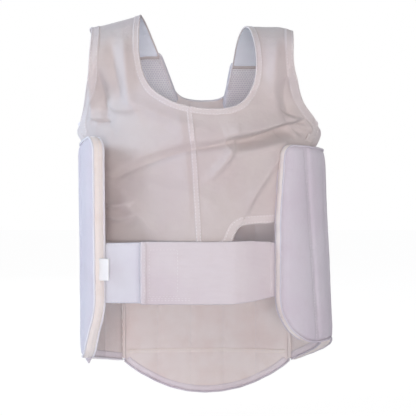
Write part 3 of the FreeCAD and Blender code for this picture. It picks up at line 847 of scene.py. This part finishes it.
neck_line = resample(smooth(FRONT_NECK), 2.0)
low, high = rim_line(-0.6, "front", neck_line), rim_line(15.2, "front", neck_line)
put(strip_between("front_neck_edge", low, high, M_BIND, 3.0, 1.2, 9, np.tile([0.0, 0.0, 1.0], (len(low), 1))),
    "binding_tape", "vest", "front_neck_binding")
for side, line in FRONT_ARMS.items():
    line = resample(smooth(line), 2.0)
    low, high = rim_line(-0.4, "front", line), rim_line(15.0, "front", line)
    out = rim_line(7, "front", offset(line, -1.0)) - rim_line(7, "front", line)
    put(strip_between(f"front_armhole_edge_{side}", low, high, M_BIND, 2.6, 1.2, 9, out), "binding_tape", "vest")

# Underarm gussets: loose rolled cloth over the wing tops, with the rolled arm edge
GUSSETS = {
    "left": ([(144, 14, 112), (162, 2, 116), (172, -16, 115), (167, -42, 114), (149, -70, 118), (124, -89, 130),
              (103, -98, 146)],
             [(138, 30, 90), (152, 12, 88), (161, -8, 84), (157, -42, 79), (139, -66, 78), (122, -86, 76),
              (117, -90, 80)]),
    "right": ([(-132, 18, 112), (-146, 0, 117), (-153, -18, 116), (-151, -42, 115), (-143, -68, 117),
               (-124, -91, 128), (-105, -98, 143)],
              [(-124, 32, 82), (-139, 14, 82), (-148, -6, 82), (-148, -42, 80), (-139, -66, 78), (-124, -86, 76),
               (-119, -90, 80)]),
}
for side, rows in GUSSETS.items():
    count, bulge = 84, 8.5
    way = np.linspace(0, 1, count)
    top, low = (at_ways(way, np.linspace(0, 1, len(row)), row) for row in (resample(smooth(r), 2.0) for r in rows))
    out = unit(((top + low) / 2 - np.array([*HUBS[side][:2], 0])) * (1, 1, 0))

    def wave(run, t, out=out):
        ruck = 0.9 * np.sin(run / 9 + 3 * t) + 0.45 * np.sin(run / 4.1 - 5 * t) + 1.0 * np.sin(7 * t + run / 30)
        return out * (math.sin(math.pi * t) * ruck)[:, None]
    put(strip_between(f"underarm_cloth_{side}", low, top, M_HEM, bulge, 1.4, 26, out, wave), "shell_cloth", "vest",
        f"underarm_gusset_{side}")
    put(tube(f"armhole_roll_{side}", top + out * 0.5, 3.2, M_BIND, sides=12), "binding_tape", "vest",
        f"armhole_binding_{side}")
    high = 0.74   # the stitches' height up the bulge
    sew(f"armhole_stitches_{side}", top * high + low * (1 - high) + out * (bulge * math.sin(math.pi * high) + 1.2),
        out, "vest")


# Waist band, its hook patch and folded end, the tab with its loop patch, and the care label
def path_place(points, sway=0.0, off=0.0):
    """Places (way along, height) on an upright strip that follows a plan path."""
    line = resample(smooth(points, fine=16), 1.0)
    way = run_length(line)

    def place(p):
        x, y = at_ways(p[:, 0], way, line).T
        ahead = at_ways(p[:, 0] + 1, way, line) - at_ways(p[:, 0] - 1, way, line)
        dx, dy = unit(ahead).T
        d = off + sway * (ripple(p, 70, 11, (1.0, 0.4)) + 0.25 * ripple(p, 24, 12))
        return np.stack([x - dy * d, y + dx * d, p[:, 1] + 0.25 * ripple(p * [1, 0.02], 60, 13)], 1)
    return place, way[-1]


def block(a0, b0, a1, b1, bend):
    """Outline of a rectangle with rounded corners."""
    return rounded([(a0, b0, bend), (a1, b0, bend), (a1, b1, bend), (a0, b1, bend)])


BAND = [(-83, 78.8), (-72, 86.6), (-58, 95.6), (-46, 100.9), (-32, 103.9), (0, 104.9), (40, 105.1), (78, 104.9)]
z0, z1 = -117.0, -42.0   # the band's lower and upper edges
band_place, end = path_place(BAND, 0.55)
fold_place, _ = path_place(BAND, 0.55, 1.4)
hook_place, _ = path_place(BAND, 0.55, -1.6)
band_ring = rim_of([(0, z0 + 6), (40, z0 + 1.5), (70, z0), (end, z0)], [(end, z0), (end, z1)],
                   [(end, z1), (70, z1), (30, z1 + 0.5), (0, z1 - 1)], [(0, z1 - 1), (0, z0 + 6)])
put(patch("waist_elastic", band_ring, band_place, M_ELASTIC, 2.1, step=2.0), "elastic", "waist_band", "elastic_band")
put(patch("waist_end_fold", block(end - 6.5, z0 + 0.4, end + 0.6, z1 - 0.4, 1), fold_place, M_ELASTIC, 1.6, step=1.6),
    "elastic", "waist_band", "band_end_hem")
put(patch("hook_strip", block(end - 46, z0 + 8, end - 9, z1 - 8, 2), hook_place, M_HOOK, 0.9, step=2.4),
    "hook_tape", "waist_band", "hook_patch")
box_line = block(end - 45, z0 + 9, end - 10.5, z1 - 9, 2)
low_run = np.linspace(end - 8, end - 64, 40)
for tag, place, run in (
        ("box", band_place, resample(np.vstack([box_line, box_line[:1]]), 1.5)),
        ("end_a", fold_place, np.stack([np.full(50, end - 4.6), np.linspace(z0 + 2, z1 - 2, 50)], 1)),
        ("low_a", band_place, np.stack([low_run, np.full(40, z0 + 4.2)], 1)),
        ("low_b", band_place, np.stack([low_run, np.full(40, z0 + 6.6)], 1))):
    sew_on(f"band_stitches_{tag}", place, run, "waist_band", 0.95, 0.3, facing=1)

anchor_ring = rounded([(213, z0 + 6, 1), (244, z0 + 9, 2), (244, z1 - 3, 2), (213, z1 - 1, 1)])
put(patch("band_sewn_end", anchor_ring, ring_place("right", lambda p: np.full(len(p), -1.9)), M_ELASTIC, 2.0,
          step=2.0), "elastic", "right_wing", "band_anchor")

TAB = [(121.6, 98.2), (117, 99.4), (108, 99.9), (70, 99.9), (30, 99.8)]
tab_place, end = path_place(TAB, 0.3)
loop_place, _ = path_place(TAB, 0.3, -1.35)
tab_ring = rounded([(0, z0 + 1.5, 0), (end, z0, 3), (end, z1, 3), (0, z1 - 1.5, 0)])
put(patch("closing_tab", tab_ring, tab_place, M_TAB, 1.7, step=2.2), "shell_cloth", "loop_tab", "loop_tab_base")
put(patch("loop_strip", block(end - 42, z0 + 6, end - 3, z1 - 6, 2), loop_place, M_LOOP, 0.9, step=2.4),
    "loop_tape", "loop_tab", "loop_patch")
for k, z in enumerate((z0 + 3, z1 - 3)):
    run = np.stack([np.linspace(4, end - 4, 80), np.full(80, z)], 1)
    sew_on(f"tab_stitches_{k}", tab_place, run, "loop_tab", 0.8, 0.3, facing=1)

LABEL = [(129.2, 102.4), (126, 103.5), (121, 104.8), (117.2, 105.7), (116.3, 105.3), (117.0, 104.7),
         (121, 103.7), (126, 102.6), (129, 101.8)]
label_place, end = path_place(LABEL)
put(patch("care_label_fold", block(0, -88.5, end, -61.5, 0), label_place, M_LABEL, 0.35, step=0.9, round_edge=False),
    "label_cloth", "care_label_flap", "care_label")

# Sheets
PADDED = ("left_wing_pad_cover", "right_wing_pad_cover", "front_pad_cover", "front_strap_pad_left",
          "front_strap_pad_right")


def pair(sheet, held, *starts):
    """The rows of a left and a right sheet; SIDE stands for either word in the names."""
    return {sheet.replace("SIDE", side): (held, *(n.replace("SIDE", side) for n in starts)) for side in ARCH}


# Each sheet: how it is held, and how the names of the small pieces sewn to it start; the first to name a piece has it
SHEETS = {
    **pair("SIDE_wing_pad_lining", "stretched", "SIDE_wing_", "corner_seam_SIDE"),
    **pair("front_strap_cover_SIDE", "stretched", "front_strap_net_SIDE", "front_strap_binding_SIDE",
           "front_strap_stitches_SIDE"),
    **pair("underarm_cloth_SIDE", "gathered", "armhole_roll_SIDE", "armhole_stitches_SIDE"),
    "waist_elastic": ("stretched", "waist_end", "hook_", "band_stitches"),
    "closing_tab": ("hung", "loop_", "tab_stitches"),
    "care_label_fold": ("folded",),
    "band_sewn_end": ("stretched",),
    **pair("back_yoke_SIDE", "hung", "back_neck_hem_SIDE", "armhole_hem_SIDE", "yoke_bottom_hem_SIDE", "centre_",
           "shoulder_facing_SIDE", "shoulder_seam_roll_SIDE", "shoulder_seam_stitches_SIDE"),
    "front_pad_lining": ("stretched", "front_", "apron_"),
}
things = bpy.data.objects
free = {o.name for o in things if o.type == "MESH" and "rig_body" in o and "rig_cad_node" not in o}
free -= set(PADDED) | set(SHEETS)
for name, (held, *starts) in SHEETS.items():
    going = sorted(n for n in free if n.startswith(tuple(starts)))
    free -= set(going)

# ---- camera, light and floor

floor_mesh = bpy.data.meshes.new("floor")
floor_mesh.from_pydata([(-9, -9, -0.30), (9, -9, -0.30), (9, 9, -0.30), (-9, 9, -0.30)], [], [(0, 1, 2, 3)])
floor = bpy.data.objects.new("floor", floor_mesh)
bpy.context.scene.collection.objects.link(floor)
pale = bpy.data.materials.new("pale_floor")
pale.use_nodes = True
tree = pale.node_tree
surface = tree.nodes["Principled BSDF"]
surface.inputs["Base Color"].default_value = (0.80, 0.79, 0.80, 1)
surface.inputs["Roughness"].default_value = 0.9
# The camera sees floor and backdrop as plain white, while they light the vest far less
seen = join(tree, "LightPath", {}).outputs["Is Camera Ray"]
glow = join(tree, "Emission", {"Strength": 1.04}).outputs[0]
share = join(tree, "Math", {0: seen, 1: 0.93}, operation="MULTIPLY").outputs[0]
blend = join(tree, "MixShader", {0: share, 1: surface.outputs[0], 2: glow}).outputs[0]
tree.links.new(blend, tree.nodes["Material Output"].inputs["Surface"])
floor_mesh.materials.append(pale)

world = bpy.data.worlds.new("studio")
bpy.context.scene.world = world
world.use_nodes = True
tree = world.node_tree
seen = join(tree, "LightPath", {}).outputs["Is Camera Ray"]
level = join(tree, "MapRange", {"To Min": 0.33, "To Max": 1.0, "Value": seen}).outputs["Result"]
tone = join(tree, "Mix", {0: seen, 6: (0.88, 0.93, 1, 1), 7: (1, 1, 1, 1)}, data_type="RGBA").outputs[2]
tree.links.new(level, tree.nodes["Background"].inputs["Strength"])
tree.links.new(tone, tree.nodes["Background"].inputs["Color"])


def lamp(name, at, target, size, power, colour):
    light = bpy.data.lights.new(name, "AREA")
    light.shape = "RECTANGLE"
    light.size, light.size_y = size
    light.energy, light.color = power, colour
    obj = bpy.data.objects.new(name, light)
    obj.location = at
    obj.rotation_euler = (Vector(target) - Vector(at)).to_track_quat("-Z", "Y").to_euler()
    bpy.context.scene.collection.objects.link(obj)


lamp("key", (1.75, 0.35, 0.75), (0, 0, 0), (0.7, 0.8), 21, (0.70, 0.85, 1.0))
lamp("fill", (-1.0, 1.6, 0.6), (0, 0, 0), (1.0, 1.0), 7, (1.0, 0.91, 0.87))
lamp("rear", (0.7, -1.7, 0.9), (0, 0, 0), (1.0, 1.0), 16, (0.95, 0.97, 1.0))
lamp("low", (0.0, 1.9, -0.1), (0, 0, -0.1), (0.7, 0.3), 14, (1.0, 0.93, 0.90))

camera = bpy.data.objects.new("camera", bpy.data.cameras.new("camera"))
camera.data.sensor_width = 36
camera.data.lens = 63.6
camera.location = (-0.004, 1.0, 0.0)
camera.rotation_euler = (math.pi / 2, 0, math.pi)
bpy.context.scene.collection.objects.link(camera)
bpy.context.scene.camera = camera
bpy.context.scene.view_settings.view_transform = "Standard"
